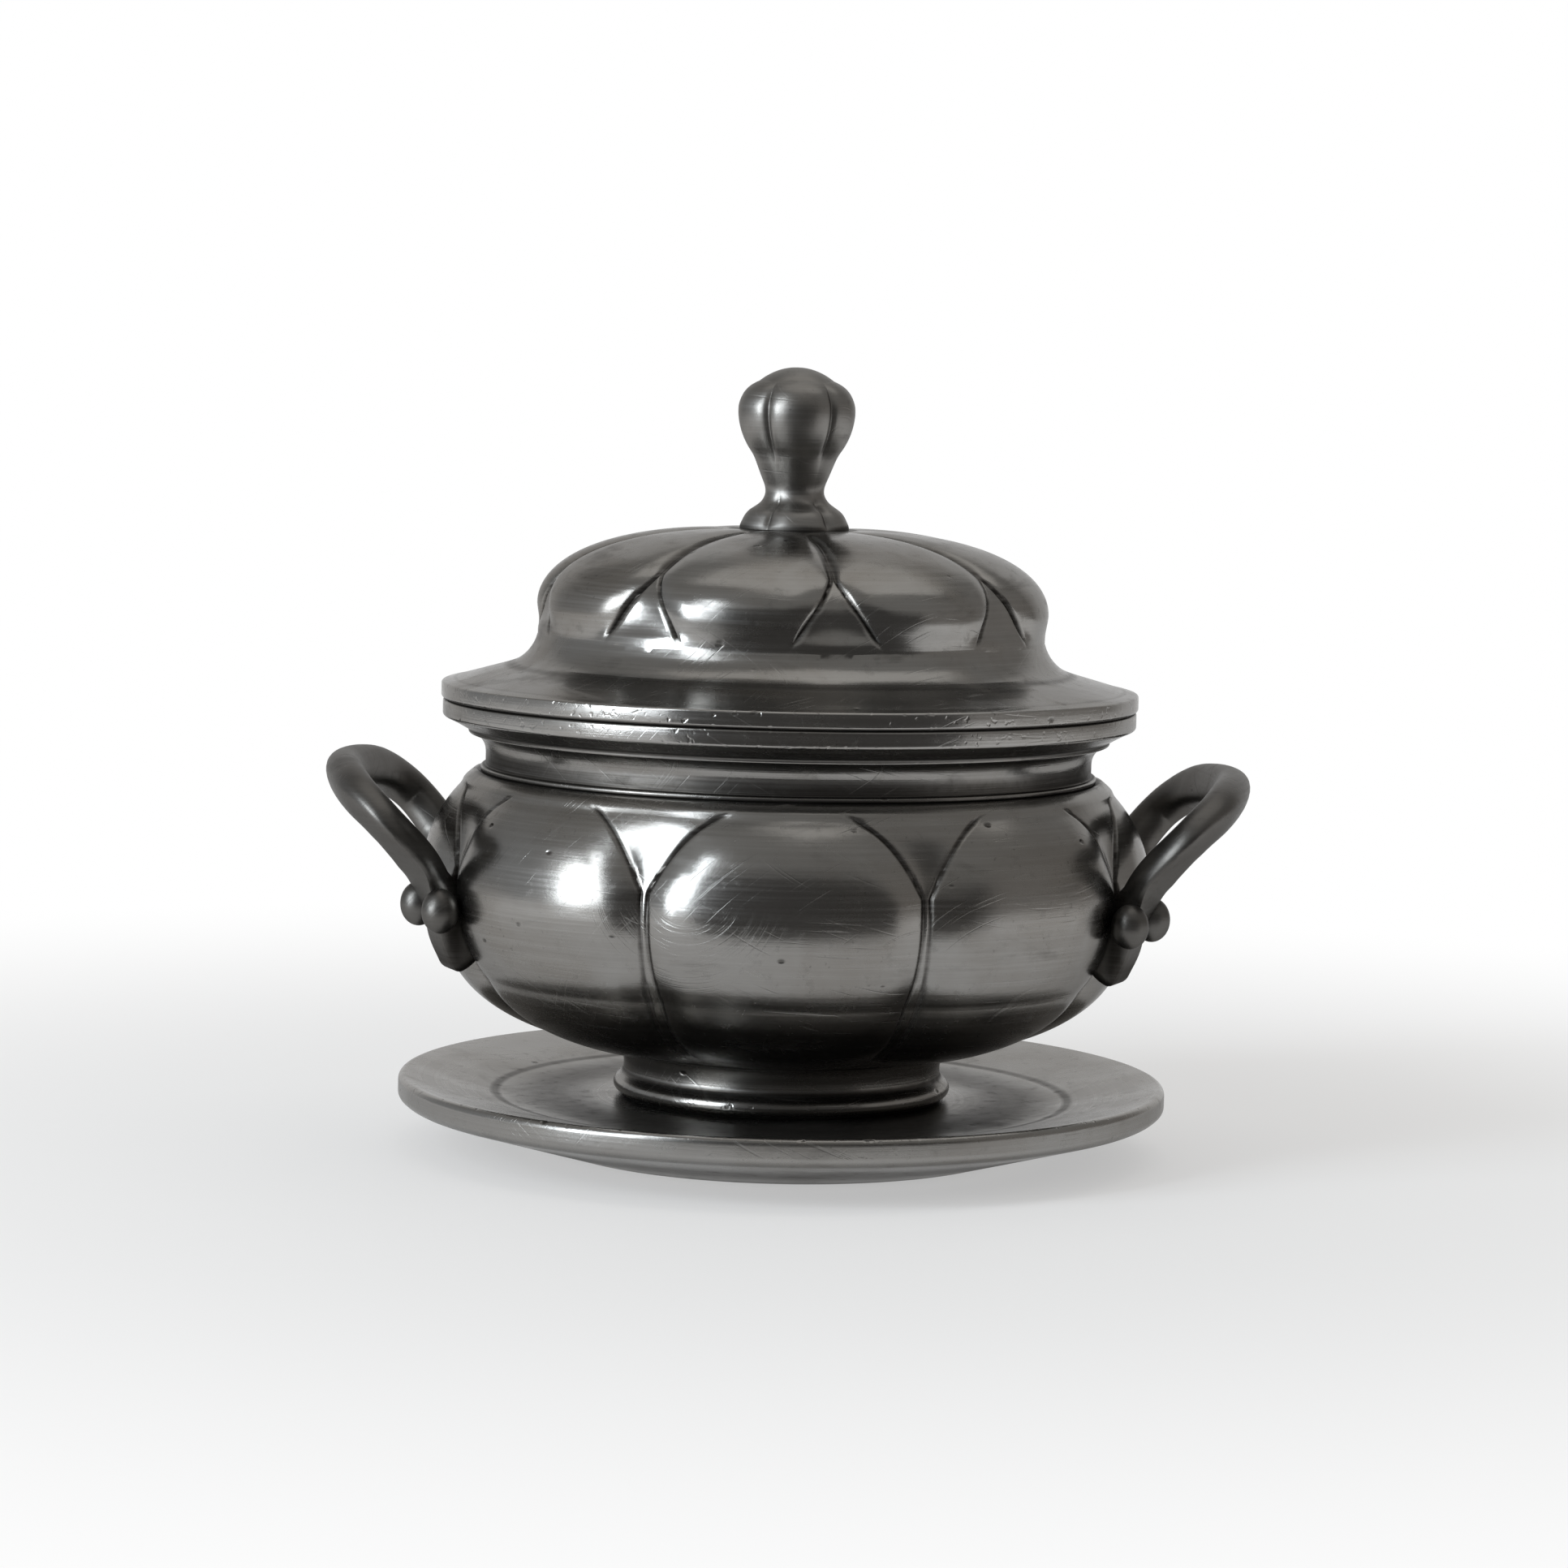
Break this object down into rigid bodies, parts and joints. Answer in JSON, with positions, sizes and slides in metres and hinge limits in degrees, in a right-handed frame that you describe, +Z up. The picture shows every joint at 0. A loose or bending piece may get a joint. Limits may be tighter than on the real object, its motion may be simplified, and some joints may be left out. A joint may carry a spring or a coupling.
{
  "type": "sugar bowl",
  "caption": "Lobed covered sugar bowl with a lobed knob, strap handles with ball bosses and a round underplate; the lid and the bowl lift off.",
  "frame": {"origin": "centre of the underplate's base ring, on the table", "axes": "+Z up through the knob, +X along the line of the handles, -Y towards the front lobe"},
  "size_m": [0.1394, 0.116, 0.1178],
  "materials": {
    "pewter": "aged satin pewter with dark creases, turning lines and fine scratches",
    "steel_fixing": "plain bright turned metal, hidden inside the lid"
  },
  "bodies": {
    "plate": {"underplate": "pewter"},
    "bowl": {"foot_ring": "pewter", "bowl_body": "pewter", "bowl_collar": "pewter", "handle_left": "pewter", "handle_right": "pewter"},
    "lid": {"lid_dome": "pewter", "lid_bezel": "pewter", "knob": "pewter", "knob_stud": "steel_fixing", "knob_washer": "steel_fixing", "knob_nut": "steel_fixing"}
  },
  "joints": [
    {"name": "bowl_lift", "type": "slide", "parent": "plate", "child": "bowl", "axis": [0, 0, 1], "range_m": [0, 0.06]},
    {"name": "lid_lift", "type": "slide", "parent": "bowl", "child": "lid", "axis": [0, 0, 1], "range_m": [0, 0.1]}
  ]
}
